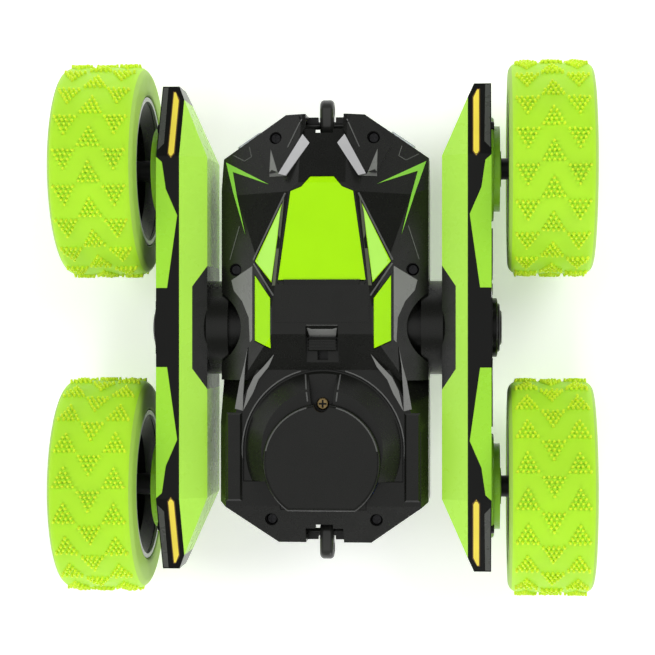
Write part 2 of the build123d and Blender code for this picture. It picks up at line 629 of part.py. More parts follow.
def arm_screws():
    screws = []
    for y, z in ARM_SCREWS:
        screws.append(sideways_screw(40.6, 49.8, y, z, 1.9, 1.0))
    for y, z in COVER_SCREWS:
        screws.append(sideways_screw(47.9, ARM_OUT_X, y, z, 1.6, 0.8, 0.9))
    return Compound(children=[s.solids()[0] for s in screws])


def drive_shaft():
    gear = spur_gear(CENTRE_TEETH, ARM_MODULE, GEAR_X0, GEAR_X1, 0, 0, 0)
    return gear + rod(DRIVE_SHAFT_R, 11.0, 47.2) + rod(4, 40.6, 46.3)


def idler_gear(end):
    gear = spur_gear(IDLER_TEETH, ARM_MODULE, GEAR_X0, GEAR_X1, end * 24, 0, 180 / IDLER_TEETH)
    return gear - rod(1.5 + RUN_GAP, 30, 60, end * 24)


# ---- wheel, for the left side ----
RIM_FACE_X = 80.5
SPOKE_COUNT = 5


def axle_gear(end):
    """Wheel gear inside the arm, moulded on the stub axle that carries the wheel."""
    y = end * AXLE_Y
    gear = spur_gear(WHEEL_TEETH, ARM_MODULE, GEAR_X0, GEAR_X1, y, 0, 0)
    shaft = rod(DRIVE_SHAFT_R, 37.1, 42.5, y) + rod(3.3, 45.5, 76.5, y)
    return gear + shaft - rod(1.25, 66, 80, y)


def tyre():
    ring = rod(TYRE_R, TYRE_IN_X, TYRE_OUT_X) - rod(TYRE_BORE_R, 0, 90)
    outside = ring.edges().filter_by(GeomType.CIRCLE).filter_by(lambda e: e.radius > TYRE_R - 0.1)
    ring = fillet(outside, 3.0)
    return ring - rod(23.8, 79.2, 90)


def spoke(phase):
    """A spoke that broadens outwards: a stem that forks, with a sloping tile between the branches."""
    base = [(-2.4, 5.0), (-2.6, 6.4), (-4.3, 13.2), (-6.7, 19.0), (-6.9, 21.0), (5.2, 21.0), (4.5, 18.6),
            (2.3, 15.2), (2.1, 13.3), (1.6, 6.4), (1.6, 5.0)]
    branches = [(-1.9, 5.8), (-3.8, 14.2), (-6.1, 20.0), (-4.9, 20.0), (-3.5, 15.5), (0.4, 17.2),
                (1.5, 20.0), (3.9, 20.0), (1.7, 15.2), (1.5, 13.4), (1.1, 5.8)]
    tile = [(-4.9, 20.0), (-3.7, 15.2), (0.5, 17.0), (1.6, 20.0)]
    body = side_prism(base, 73.4, 76.7)
    body += side_prism(branches, 76.2, 78.5)
    slope = [(77.0, 0, 15.4), (77.0, 1, 15.4), (78.3, 0, 20.0)]
    body += carve(side_prism(tile, 76.2, 80), slope, 0.0, (70, 0, 17))
    return Rot(phase - 90, 0, 0) * body


def rim(phase):
    """Barrel, dished face ring, five spokes and hub; the first spoke points at `phase` degrees."""
    barrel = turned([(56.6, 22.5), (56.8, 23.0), (57.2, 23.4), (79.2, 23.4), (79.2, 23.75), (80.2, 23.75),
                     (RIM_FACE_X, 23.4), (RIM_FACE_X, 21.3), (80.1, 20.9), (77.6, 19.5), (77.0, 18.4),
                     (60.6, 18.2)])
    hub = turned([(66.5, 0), (66.5, 5.2), (72.6, 5.2), (72.6, 6.25), (80.0, 6.25), (80.4, 5.8), (80.4, 0)])
    wheel = barrel + hub
    for number in range(SPOKE_COUNT):
        wheel += spoke(phase + number * 360 / SPOKE_COUNT)
    wheel -= rod(3.3 + 0.02, 0, 76.6)
    wheel -= rod(1.3, 60, 90)
    lobes = rod(2.3, 79.5, 90)
    for number in range(4):
        lobes += Rot(45 + 90 * number, 0, 0) * rod(1.15, 79.5, 90, 2.4)
    return wheel - lobes


def brake_disc(phase):
    """Drilled disc behind the spokes, with one patch of holes for each gap between them."""
    disc = turned([(71.0, 5.25), (71.0, 13.4), (71.4, 13.8), (72.1, 13.8), (72.5, 13.4), (72.5, 5.25)])
    for number in range(SPOKE_COUNT):
        middle = phase + 36 + number * 360 / SPOKE_COUNT
        for radius, turn in ((8.3, 0), (9.9, -13), (9.9, 13), (11.6, -5), (11.9, 14), (11.9, -22)):
            angle = math.radians(middle + turn)
            disc -= rod(0.5, 71.6, 80, radius * math.cos(angle), radius * math.sin(angle))
    return disc


def wheel_screw():
    return sideways_screw(67, 79.5, 0, 0, 1.85, 1.2)


# ---- assembly ----
SIDES = {"left": 1, "right": -1}
ENDS = {"front": -1, "rear": 1}
SPOKE_PHASE = {"front": 90.0, "rear": 110.0}


def place(shape, side):
    """Put a left-side shape on its own side of the car."""
    return shape if side == "left" else Rot(0, 0, 180) * shape


pieces["upper_shell"] = upper_shell()
pieces["lower_shell"] = lower_shell()
pieces["upper_green_panels"] = green_panels()
pieces["lower_green_panels"] = mirror(green_panels(), Plane.XY)
pieces["shell_screws"] = Compound(children=[
    upright_screw(side * x, y, seat, -7, 1.75).solids()[0]
    for x, y, seat in SHELL_SCREWS for side in (1, -1)])
pieces["switch_housing"] = switch_housing()
pieces["circuit_board"] = circuit_board()
pieces["battery_pack"] = battery_pack()
pieces["headlight_lenses"] = Compound(children=[
    lens.solids()[0] for lens in (lens_outline(0, 1.6), mirror(lens_outline(0, 1.6), Plane.YZ))])
pieces["battery_cover"] = battery_door()
pieces["battery_cover_screw"] = upright_screw(0, DOOR_SCREW_Y, 17.4, 11.4, 1.9)
pieces["switch_knob"] = switch_knob()
pieces["front_tow_ring"] = tow_ring(FRONT_PIVOT_Y, FRONT_EYE_Y)
pieces["rear_tow_ring"] = tow_ring(REAR_PIVOT_Y, REAR_EYE_Y)

for side, side_sign in SIDES.items():
    singles = {
        "motor": motor(), "motor_pinion": motor_pinion(), "reduction_gear": reduction_gear(),
        "output_gear": output_gear(), "drive_shaft": drive_shaft(), "hub_collar": hub_collar(),
        "arm_shell": arm_shell(), "arm_cover": arm_cover(), "axle_covers": axle_covers(),
        "hub_cap": hub_cap(), "arm_screws": arm_screws()}
    for name, shape in singles.items():
        pieces[f"{side}_{name}"] = place(shape, side)
    for end, end_sign in ENDS.items():
        local_end = end_sign * side_sign
        shift = Pos(0, local_end * AXLE_Y, 0)
        phase = SPOKE_PHASE[end]
        wheel = {"tyre": tyre(), "rim": rim(phase), "brake_disc": brake_disc(phase),
                 "wheel_screw": wheel_screw()}
        for name, shape in wheel.items():
            pieces[f"{side}_{end}_{name}"] = place(shift * shape, side)
        pieces[f"{side}_{end}_axle_gear"] = place(axle_gear(local_end), side)
        pieces[f"{side}_{end}_idler"] = place(idler_gear(local_end), side)

os.makedirs("parts", exist_ok=True)
for name, shape in pieces.items():
    export_step(Pos(0, 0, TYRE_R) * shape, f"parts/{name}.step")
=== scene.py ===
import json
import math
import random

import bpy
from mathutils import Matrix, Vector
from mathutils.bvhtree import BVHTree
from mathutils.geometry import delaunay_2d_cdt


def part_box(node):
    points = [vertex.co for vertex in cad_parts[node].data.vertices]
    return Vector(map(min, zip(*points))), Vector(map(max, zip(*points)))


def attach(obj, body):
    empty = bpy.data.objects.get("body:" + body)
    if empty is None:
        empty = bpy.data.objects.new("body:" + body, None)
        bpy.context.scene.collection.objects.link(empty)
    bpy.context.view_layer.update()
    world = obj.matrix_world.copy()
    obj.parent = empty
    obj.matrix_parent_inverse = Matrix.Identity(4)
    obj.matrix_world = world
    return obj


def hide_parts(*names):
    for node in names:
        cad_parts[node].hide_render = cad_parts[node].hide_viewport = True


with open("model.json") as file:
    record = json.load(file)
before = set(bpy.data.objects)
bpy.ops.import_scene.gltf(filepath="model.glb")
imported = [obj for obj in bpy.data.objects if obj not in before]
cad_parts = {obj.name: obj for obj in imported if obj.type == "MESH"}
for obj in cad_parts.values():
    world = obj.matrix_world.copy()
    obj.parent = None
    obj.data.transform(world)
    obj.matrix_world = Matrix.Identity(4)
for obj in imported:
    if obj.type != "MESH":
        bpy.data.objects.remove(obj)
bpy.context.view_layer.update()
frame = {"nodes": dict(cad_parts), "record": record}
nodes = frame["nodes"]

# ---- driving dimensions, metres, taken from the frame ----
MM = 0.001
SIDES = {"left": 1, "right": -1}
ENDS = {"front": -1, "rear": 1}
tyre_low, tyre_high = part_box("left_rear_tyre")
TYRE_R = (tyre_high[2] - tyre_low[2]) / 2
TYRE_IN_X, TYRE_OUT_X = tyre_low[0], tyre_high[0]
AXLE_Z = (tyre_high[2] + tyre_low[2]) / 2
AXLE_Y = (tyre_high[1] + tyre_low[1]) / 2
BORE_R = 23.4 * MM
TREAD_R = TYRE_R - 1.15 * MM        # bare rubber between the spikes
SHOULDER_R = 3.0 * MM
arm_low, arm_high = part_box("left_arm_cover")
ARM_RIDGE_X = arm_low[0]


# ---- materials ----
def new_material(name):
    material = bpy.data.materials.new(name)
    material.use_nodes = True
    tree = material.node_tree
    shader = tree.nodes["Principled BSDF"]
    return material, tree, shader


def ramp(tree, source, low, high, low_at=0.35, high_at=0.65):
    """A colour ramp between two colours, driven by a factor."""
    node = tree.nodes.new("ShaderNodeValToRGB")
    node.color_ramp.elements[0].position = low_at
    node.color_ramp.elements[0].color = low
    node.color_ramp.elements[1].position = high_at
    node.color_ramp.elements[1].color = high
    tree.links.new(source, node.inputs["Fac"])
    return node.outputs["Color"]


def noise(tree, scale, detail=3.0, roughness=0.55):
    place = tree.nodes.new("ShaderNodeTexCoord")
    node = tree.nodes.new("ShaderNodeTexNoise")
    node.inputs["Scale"].default_value = scale
    node.inputs["Detail"].default_value = detail
    node.inputs["Roughness"].default_value = roughness
    tree.links.new(place.outputs["Object"], node.inputs["Vector"])
    return node.outputs["Fac"]


def plastic(name, colour, rough, grain=0.04, spread=0.06, grain_scale=2600.0, coat=0.0, subsurface=0.0,
            specular=0.5):
    """Moulded plastic: slight colour drift, uneven gloss and a fine moulded grain."""
    material, tree, shader = new_material(name)
    drift = noise(tree, 55.0)
    dark = tuple(c * (1 - spread) for c in colour) + (1.0,)
    light = tuple(min(1.0, c * (1 + spread)) for c in colour) + (1.0,)
    tree.links.new(ramp(tree, drift, dark, light), shader.inputs["Base Color"])
    gloss = noise(tree, 240.0, 4.0)
    low = (rough * 0.93,) * 3 + (1.0,)
    high = (min(1.0, rough * 1.07),) * 3 + (1.0,)
    tree.links.new(ramp(tree, gloss, low, high), shader.inputs["Roughness"])
    bump = tree.nodes.new("ShaderNodeBump")
    bump.inputs["Strength"].default_value = grain
    bump.inputs["Distance"].default_value = 0.0002
    tree.links.new(noise(tree, grain_scale, 2.0), bump.inputs["Height"])
    tree.links.new(bump.outputs["Normal"], shader.inputs["Normal"])
    shader.inputs["Specular IOR Level"].default_value = specular
    shader.inputs["Coat Weight"].default_value = coat
    shader.inputs["Coat Roughness"].default_value = 0.12
    if subsurface:
        shader.inputs["Subsurface Weight"].default_value = subsurface
        shader.inputs["Subsurface Radius"].default_value = (0.6, 1.0, 0.2)
        shader.inputs["Subsurface Scale"].default_value = 0.002
    return material


def metal(name, colour, rough):
    material, tree, shader = new_material(name)
    shader.inputs["Metallic"].default_value = 1.0
    drift = noise(tree, 900.0)
    dark = tuple(c * 0.82 for c in colour) + (1.0,)
    tree.links.new(ramp(tree, drift, dark, colour + (1.0,)), shader.inputs["Base Color"])
    scratch = noise(tree, 3200.0, 5.0)
    tree.links.new(ramp(tree, scratch, (rough * 0.7,) * 3 + (1.0,), (rough * 1.4,) * 3 + (1.0,)),
                   shader.inputs["Roughness"])
    return material


def arm_screw_metal():
    """Bright screws round the middle of the arm; those further out than 25 mm are painted near-black as painted
    shade.
    """
    material, tree, shader = new_material("arm_screw_metal")
    shader.inputs["Metallic"].default_value = 1.0
    shader.inputs["Roughness"].default_value = 0.28
    place = tree.nodes.new("ShaderNodeTexCoord")
    split = tree.nodes.new("ShaderNodeSeparateXYZ")
    tree.links.new(place.outputs["Object"], split.inputs["Vector"])
    reach = tree.nodes.new("ShaderNodeMath")
    reach.operation = "ABSOLUTE"
    tree.links.new(split.outputs["Y"], reach.inputs[0])
    # the near-black of the outer screws is painted shade, not a finish of their own
    bright, painted_shade_dark = (0.52, 0.52, 0.53, 1), (0.035, 0.035, 0.038, 1)
    tone = ramp(tree, reach.outputs["Value"], bright, painted_shade_dark, 0.0245, 0.0255)
    tree.links.new(tone, shader.inputs["Base Color"])
    return material


LIME = (0.37, 0.79, 0.0012)
# paler lime for a painted highlight on the panels
LIME_PAINTED_HIGHLIGHT = (0.46, 0.88, 0.12)
ARM_LIME = (0.43, 0.82, 0.070)
COVER_LIME = (0.33, 0.70, 0.035)
LIME_RUBBER = (0.43, 0.79, 0.030)
# spikes: the yellow tint is the rubber's own; the extra lightness over the tread rubber is painted light
# against the shade between the spikes
SPIKE_LIT_LIME = (0.64, 0.87, 0.035)
# the tyre's rubber darkened for the sidewalls: painted shade for how light falls on the side faces
SIDEWALL_SHADED_LIME = (0.37, 0.61, 0.090)
BLACK = (0.0066, 0.0070, 0.0058)

materials = {
    "black_plastic": plastic("black_plastic", BLACK, 0.27, grain=0.03, specular=0.38),
    "lime_plastic": plastic("lime_plastic", LIME, 0.25, grain=0.02, spread=0.02, subsurface=0.05, specular=0.2),
    "lime_rubber": plastic("lime_rubber", LIME_RUBBER, 0.5, grain=0.06, spread=0.03, subsurface=0.1,
                           specular=0.3),
    "spike_rubber_painted_light": plastic("spike_rubber_painted_light", SPIKE_LIT_LIME, 0.5, grain=0.04, spread=0.05, subsurface=0.3,
                            specular=0.3),
    "sidewall_painted_shade": plastic("sidewall_painted_shade", SIDEWALL_SHADED_LIME, 0.5, grain=0.04, spread=0.02, subsurface=0.1,
                               specular=0.3),
    "rim_plastic": plastic("rim_plastic", (0.0060, 0.0060, 0.0064), 0.26, grain=0.02, specular=0.24),
    "arm_black": plastic("arm_black", (0.0050, 0.0052, 0.0046), 0.22, grain=0.015, specular=0.2),
    "axle_plastic": plastic("axle_plastic", (0.013, 0.013, 0.013), 0.4),
    "gear_nylon": plastic("gear_nylon", (0.78, 0.76, 0.68), 0.42, subsurface=0.15),
    "circuit_board": plastic("circuit_board", (0.01, 0.14, 0.05), 0.35),
    "battery_wrap": plastic("battery_wrap", (0.02, 0.09, 0.42), 0.3),
    "screw_steel": metal("screw_steel", (0.52, 0.52, 0.53), 0.26),
    "screw_black": metal("screw_black", (0.04, 0.04, 0.042), 0.3),
    "screw_brass": metal("screw_brass", (0.40, 0.29, 0.13), 0.3),
    "arm_screw_metal": arm_screw_metal(),
    "motor_can": metal("motor_can", (0.62, 0.62, 0.64), 0.3),
    "yellow_print": plastic("yellow_print", (0.90, 0.72, 0.07), 0.35, grain=0.02),
    "brown_print": plastic("brown_print", (0.12, 0.06, 0.012), 0.4, grain=0.02),
    # light grey lip: a painted highlight of bright light glancing off the rim's edge
    "rim_lip_painted_highlight": plastic("rim_lip_painted_highlight", (0.42, 0.43, 0.42), 0.2, grain=0.01),
    # light grey standing for the reflection in glossy black facets: painted reflection
    "bright_painted_reflection": plastic("bright_painted_reflection", (0.46, 0.46, 0.465), 0.22, grain=0.02),
    # mid grey standing for reflections in sloped black facets: painted reflection
    "grey_painted_reflection": plastic("grey_painted_reflection", (0.175, 0.178, 0.170), 0.28, grain=0.03),
    # dim grey for faint glints on black parts: painted reflection
    "dim_painted_reflection": plastic("dim_painted_reflection", (0.065, 0.068, 0.062), 0.28, grain=0.03),
    # a lighter grey than the body's black, standing for the shine on the tow rings: painted highlight
    "ring_painted_highlight": plastic("ring_painted_highlight", (0.030, 0.031, 0.028), 0.2, grain=0.02),
    "arm_lime": plastic("arm_lime", ARM_LIME, 0.28, grain=0.02, spread=0.02, subsurface=0.05, specular=0.35),
    "cover_lime": plastic("cover_lime", COVER_LIME, 0.28, grain=0.02, spread=0.02, subsurface=0.05,
                          specular=0.35),
    "lime_painted_highlight": plastic("lime_painted_highlight", LIME_PAINTED_HIGHLIGHT, 0.25, grain=0.02, spread=0.02, specular=0.35),
    # grey-olive standing for light reflected in the panel gap: painted reflection
    "groove_painted_reflection": plastic("groove_painted_reflection", (0.085, 0.095, 0.060), 0.35, grain=0.03),
    # near-black for plugs in the screw recesses: painted shade
    "recess_shade": plastic("recess_shade", (0.012, 0.012, 0.012), 0.5, grain=0.01, specular=0.2),
    # dark grey a little lighter than the cover: painted highlight on its raised lines
    "cover_line_painted_highlight": plastic("cover_line_painted_highlight", (0.035, 0.036, 0.033), 0.3, grain=0.03),
    # light grey for thin lines along edges: painted highlight
    "painted_highlight_line": plastic("painted_highlight_line", (0.10, 0.102, 0.098), 0.3, grain=0.03),
    "lime_flash": plastic("lime_flash", (0.24, 0.60, 0.055), 0.3, grain=0.02, spread=0.03, specular=0.35),
}
# the tow rings take the lighter grey, a painted highlight
SPECIAL = {"battery_cover_screw": "screw_brass", "front_tow_ring": "ring_painted_highlight",
           "rear_tow_ring": "ring_painted_highlight"}
for side in SIDES:
    SPECIAL |= {f"{side}_arm_screws": "arm_screw_metal", f"{side}_arm_shell": "arm_lime",
                f"{side}_axle_covers": "cover_lime", f"{side}_arm_cover": "arm_black",
                f"{side}_hub_cap": "arm_black"}


def lens_material():
    material, tree, shader = new_material("lens")
    shader.inputs["Base Color"].default_value = (0.85, 0.9, 0.95, 1)
    shader.inputs["Transmission Weight"].default_value = 0.6
    shader.inputs["Roughness"].default_value = 0.12
    shader.inputs["IOR"].default_value = 1.49
    bump = tree.nodes.new("ShaderNodeBump")
    bump.inputs["Strength"].default_value = 0.25
    bump.inputs["Distance"].default_value = 0.0004
    tree.links.new(noise(tree, 900.0, 1.0), bump.inputs["Height"])
    tree.links.new(bump.outputs["Normal"], shader.inputs["Normal"])
    return material


materials["lens"] = lens_material()

for row in frame["record"]["subparts"]:
    item = nodes[row["node"]]
    item.data.materials.clear()
    item.data.materials.append(materials[SPECIAL.get(row["node"], row["material_slot"])])


# ---- rounded edges on the moulded parts ----
EDGE_MM = {"shell": 0.35, "cover": 0.3, "covers": 0.3, "panels": 0.2, "rim": 0.22, "cap": 0.12, "collar": 0.3,
           "disc": 0.1, "knob": 0.12, "ring": 0.1}


def soften(item, width):
    bevel = item.modifiers.new("edge", "BEVEL")
    bevel.width = width
    bevel.segments = 2
    bevel.limit_method = "ANGLE"
    bevel.angle_limit = math.radians(28)
    bevel.harden_normals = True
    bevel.miter_outer = "MITER_ARC"


for node_name, item in nodes.items():
    last_word = node_name.split("_")[-1]
    if last_word in EDGE_MM:
        soften(item, EDGE_MM[last_word] * MM)


# ---- meshes ----
def mesh_object(name, points, faces, material, face_materials=None):
    mesh = bpy.data.meshes.new(name)
    mesh.from_pydata(points, [], faces)
    piece = bpy.data.objects.new(name, mesh)
    bpy.context.scene.collection.objects.link(piece)
    for one in material if isinstance(material, list) else [material]:
        mesh.materials.append(one)
    if face_materials:
        mesh.polygons.foreach_set("material_index", face_materials)
    mesh.validate()
    mesh.update()
    return piece


def arc(cx, cr, radius, start, end, steps):
    """Points (x, r) on a round corner, angles in degrees from +x towards +r."""
    out = []
    for step in range(steps + 1):
        angle = math.radians(start + (end - start) * step / steps)
        out.append((cx + radius * math.cos(angle), cr + radius * math.sin(angle)))
    return out


def tyre_profile():
    """Closed section (x, radius) of the bare tyre, from the bore round the outer sidewall and back."""
    outer_seat = TYRE_OUT_X - 2.6 * MM
    seat_r = BORE_R + 0.4 * MM
    section = [(outer_seat, BORE_R), (outer_seat, seat_r), (TYRE_OUT_X - 0.5 * MM, seat_r)]
    section += arc(TYRE_OUT_X - 0.6 * MM, seat_r + 0.6 * MM, 0.6 * MM, -90, 0, 3)
    wall_x = TYRE_OUT_X - 0.12 * MM
    section += [(TYRE_OUT_X, 25.2 * MM), (wall_x, 25.5 * MM), (wall_x, 28.4 * MM)]
    section += arc(TYRE_OUT_X - SHOULDER_R, TREAD_R - SHOULDER_R, SHOULDER_R, 6, 90, 8)
    middle = (TYRE_IN_X + TYRE_OUT_X) / 2
    section += [(middle + 6 * MM, TREAD_R + 0.02 * MM), (middle - 6 * MM, TREAD_R + 0.02 * MM)]
    section += arc(TYRE_IN_X + SHOULDER_R, TREAD_R - SHOULDER_R, SHOULDER_R, 90, 174, 8)
    section += [(TYRE_IN_X + 0.1 * MM, 28.4 * MM), (TYRE_IN_X, 25.2 * MM)]
    section += arc(TYRE_IN_X + 0.6 * MM, BORE_R + 0.6 * MM, 0.6 * MM, 180, 270, 3)
    return section


TURNS = 144                 # steps round the tyre
TRIANGLES = 19              # spike triangles round the tyre, in each column
COLUMN_X = 7.6 * MM         # side columns from the middle one
ROW_PITCH = 1.35 * MM
SPIKE_PITCH = 1.5 * MM
SPIKE_ROWS = 5
SPIKE_SIDES = 6
FOOT_R, TIP_R = 0.56 * MM, 0.34 * MM
SIDEWALL_FROM = (TYRE_OUT_X - TYRE_IN_X) / 2 - 1.0 * MM     # from the middle of the tread


def add_spike(points, faces, x, angle, height, lean_x, lean_a):
    """A small tapered spike standing on the tread."""
    first = len(points)
    up = Vector((0, math.cos(angle), math.sin(angle)))
    along = Vector((0, -math.sin(angle), math.cos(angle)))
    across = Vector((1, 0, 0))
    foot = across * x + up * (TREAD_R - 0.15 * MM)
    tip = foot + up * (height + 0.15 * MM) + across * lean_x + along * lean_a
    for centre, radius in ((foot, FOOT_R), (tip, TIP_R)):
        for corner in range(SPIKE_SIDES):
            turn = 2 * math.pi * corner / SPIKE_SIDES
            points.append(centre + across * (radius * math.cos(turn)) + along * (radius * math.sin(turn)))
    for corner in range(SPIKE_SIDES):
        after = (corner + 1) % SPIKE_SIDES
        faces.append((first + corner, first + after, first + SPIKE_SIDES + after, first + SPIKE_SIDES + corner))
    faces.append(tuple(first + SPIKE_SIDES + corner for corner in range(SPIKE_SIDES)))


def build_tyre(name, seed, apex):
    """Tyre about the X axis through the origin, on the +X side; `apex` turns the triangles over."""
    rng = random.Random(seed)
    section = tyre_profile()
    points, faces = [], []
    for step in range(TURNS):
        angle = 2 * math.pi * step / TURNS
        for x, radius in section:
            points.append(Vector((x, radius * math.cos(angle), radius * math.sin(angle))))
    count = len(section)
    for step in range(TURNS):
        here, there = step * count, ((step + 1) % TURNS) * count
        for index in range(count):
            after = (index + 1) % count
            faces.append((here + index, there + index, there + after, here + after))
    bare = len(faces)
    middle_x = (TYRE_IN_X + TYRE_OUT_X) / 2
    for column in (-1, 0, 1):
        flip = apex * (1 if column else -1)
        for number in range(TRIANGLES):
            centre = 2 * math.pi * (number + (apex * 0.16 if column else 0.5)) / TRIANGLES
            for row in range(SPIKE_ROWS):
                wide = SPIKE_ROWS - row
                offset = (row - (SPIKE_ROWS - 1) / 2) * ROW_PITCH * flip
                for place in range(wide):
                    x = middle_x + column * COLUMN_X + (place - (wide - 1) / 2) * SPIKE_PITCH
                    height = (TYRE_R - TREAD_R) * rng.uniform(0.8, 0.99)
                    lean_x, lean_a = (rng.uniform(-0.22, 0.22) * MM for _ in range(2))
                    add_spike(points, faces, x, centre + offset / TREAD_R, height * 0.99, lean_x, lean_a)
    # sidewall faces take the darker rubber, a painted shade
    flank = []
    for index in range(count):
        span_x = (section[index][0] + section[(index + 1) % count][0]) / 2
        flank.append(2 if abs(span_x - middle_x) > SIDEWALL_FROM else 0)
    kinds = flank * TURNS + [1] * (len(faces) - bare)
    rubbers = [materials["lime_rubber"], materials["spike_rubber_painted_light"], materials["sidewall_painted_shade"]]
    piece = mesh_object(name, points, faces, rubbers, kinds)
    for polygon in piece.data.polygons:
        polygon.use_smooth = polygon.material_index != 1
    piece.data.set_sharp_from_angle(angle=math.radians(38))
    return piece


seed = 11
for side, sx in SIDES.items():
    for end, sy in ENDS.items():
        tyre = build_tyre(f"{side}_{end}_spiked_tyre", seed, apex=sx * sy)
        seed += 1
        for vertex in tyre.data.vertices:
            x, y, z = vertex.co
            vertex.co = (sx * x, sx * y + sy * AXLE_Y, z + AXLE_Z)
        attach(tyre, f"{side}_{end}_wheel")
        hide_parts(f"{side}_{end}_tyre")


# ---- thin lip round the inner face of each rim, light grey as a painted highlight ----
LIP_R = (21.7 * MM, 23.1 * MM)
LIP_T = 0.9 * MM


def rim_lip_painted_highlight(name, sx, sy):
    """A thin ring that stands just proud of the rim's inner face; its light grey is a painted highlight."""
    face_x = TYRE_IN_X + 0.3 * MM
    inner, outer = LIP_R
    section = [(face_x + LIP_T, inner), (face_x + 0.1 * MM, inner), (face_x, inner + 0.15 * MM),
               (face_x, outer - 0.15 * MM), (face_x + 0.1 * MM, outer), (face_x + LIP_T, outer)]
    points, faces = [], []
    count = len(section)
    for step in range(TURNS):
        angle = 2 * math.pi * step / TURNS
        for x, radius in section:
            y, z = radius * math.cos(angle), radius * math.sin(angle)
            points.append((sx * x, sx * y + sy * AXLE_Y, z + AXLE_Z))
    for step in range(TURNS):
        here, there = step * count, ((step + 1) % TURNS) * count
        for index in range(count):
            after = (index + 1) % count
            faces.append((here + index, here + after, there + after, there + index))
    return mesh_object(name, points, faces, materials["rim_lip_painted_highlight"])


for side, sx in SIDES.items():
    for end, sy in ENDS.items():
        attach(rim_lip_painted_highlight(f"{side}_{end}_rim_lip", sx, sy), f"{side}_{end}_wheel")


# ---- fine facets and raised edges on the body, grey as painted reflections and painted highlights, and lime flashes, laid on the moulded shells ----
# Outlines are (distance from the car's middle line, Y) in millimetres, the same on both sides.
def shell_tree(*names):
    """One search tree over the rest shapes of a few CAD nodes."""
    points, faces = [], []
    for name in names:
        mesh = nodes[name].data
        first = len(points)
        points += [vertex.co.copy() for vertex in mesh.vertices]
        faces += [tuple(first + corner for corner in polygon.vertices) for polygon in mesh.polygons]
    return BVHTree.FromPolygons(points, faces)


TREES = {1: shell_tree("upper_shell", "upper_green_panels"),
         -1: shell_tree("lower_shell", "lower_green_panels"),
         "door": shell_tree("battery_cover")}


def surface(x, y, sz, tree=None):
    """Height of the shell's outside at (x, y), seen from above or from below."""
    start = Vector((x, y, AXLE_Z + sz * 60 * MM))
    hit = TREES[tree or sz].ray_cast(start, Vector((0, 0, -sz)))
    return hit[0].z if hit[0] else AXLE_Z + sz * 15 * MM


def fill(outline, spacing):
    """Triangles over an outline, with extra points inside it so that it can follow a curved face."""
    rim = []
    for index, start in enumerate(outline):
        end = outline[(index + 1) % len(outline)]
        steps = max(1, math.ceil((Vector(end) - Vector(start)).length / spacing))
        rim += [Vector(start).lerp(Vector(end), step / steps) for step in range(steps)]
    low = [min(point[axis] for point in rim) for axis in range(2)]
    high = [max(point[axis] for point in rim) for axis in range(2)]
    inner = []
    for column in range(1, int((high[0] - low[0]) / spacing) + 1):
        for row in range(1, int((high[1] - low[1]) / spacing) + 1):
            point = Vector((low[0] + column * spacing, low[1] + row * spacing))
            if min((point - other).length for other in rim) > 0.45 * spacing:
                inner.append(point)
    loop = list(range(len(rim)))
    points, edges, faces, *_ = delaunay_2d_cdt(rim + inner, [], [loop], 1, 1e-5)
    return points, faces


def closed_patch(name, tops, bottoms, faces, material):
    """Closed thin piece between a top sheet and a bottom sheet with the same triangles."""
    count = len(tops)
    border = {}
    for face in faces:
        for start, end in zip(face, face[1:] + face[:1]):
            border[(start, end)] = (end, start) not in border and border.get((start, end), True)
            if (end, start) in border:
                border[(start, end)] = border[(end, start)] = False
    walls = [(b, a, count + a, count + b) for (a, b), outer in border.items() if outer]
    under = [tuple(count + corner for corner in reversed(face)) for face in faces]
    return mesh_object(name, tops + bottoms, [tuple(face) for face in faces] + under + walls, material)


def lay(name, outline, material, lift=0.12, height=None, spacing=1.6, faces_z=(1, -1), sides=(1, -1),
        tree=None, body="chassis"):
    """A patch on the body, mirrored to both sides and both faces. It follows the shell, or lies at
    `height(x, y, sz)`, its own height above the axle plane in millimetres."""
    points, faces = fill(outline, spacing)
    faces = [list(face) for face in faces]
    for sz in faces_z:
        for sx in sides:
            tops, bottoms = [], []
            for x, y in points:
                px, py = sx * x * MM, y * MM
                if height:
                    top = AXLE_Z + sz * height(x, y, sz) * MM
                    foot = top - sz * 1.5 * MM
                else:
                    base = surface(px, py, sz, tree)
                    top = base + sz * lift * MM
                    foot = base - sz * 0.15 * MM
                tops.append((px, py, top))
                bottoms.append((px, py, foot))
            turned = [face if sx * sz > 0 else face[::-1] for face in faces]
            label = f"{'left' if sx > 0 else 'right'}_{'upper' if sz > 0 else 'lower'}_{name}"
            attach(closed_patch(label, tops, bottoms, turned, materials[material]), body)


def line(name, start, end, width, material, **options):
    """A narrow raised line between two points."""
    a, b = Vector(start), Vector(end)
    across = (b - a).normalized().orthogonal() * (width / 2)
    lay(name, [tuple(a - across), tuple(b - across), tuple(b + across), tuple(a + across)], material, **options)


def shell_height(x, y, sz):
    """Height of the shell above the axle plane, in millimetres."""
    return sz * (surface(x * MM, y * MM, sz) - AXLE_Z) / MM


def slab_height(x, y, sz):
    """The nose slabs climb from the nose's own face to the top of the pad beside them."""
    inner, outer = Vector((4.2, -56.0)), Vector((6.4, -58.7))
    along = (Vector((10.9, -45.7)) - inner).normalized()
    across = Vector((along.y, -along.x))
    width = abs((outer - inner).dot(across))
    climb = min(1.0, abs((Vector((x, y)) - inner).dot(across)) / width)
    return shell_height(3.5, y, sz) + 0.08 + 0.85 * climb


def ridge(start, end, lift):
    """Height of a straight ridge between two points on the shell."""
    a, b = Vector(start), Vector(end)

    def height(x, y, sz):
        share = max(0.0, min(1.0, (Vector((x, y)) - a).dot(b - a) / (b - a).length_squared))
        return shell_height(*a, sz) * (1 - share) + shell_height(*b, sz) * share + lift
    return height


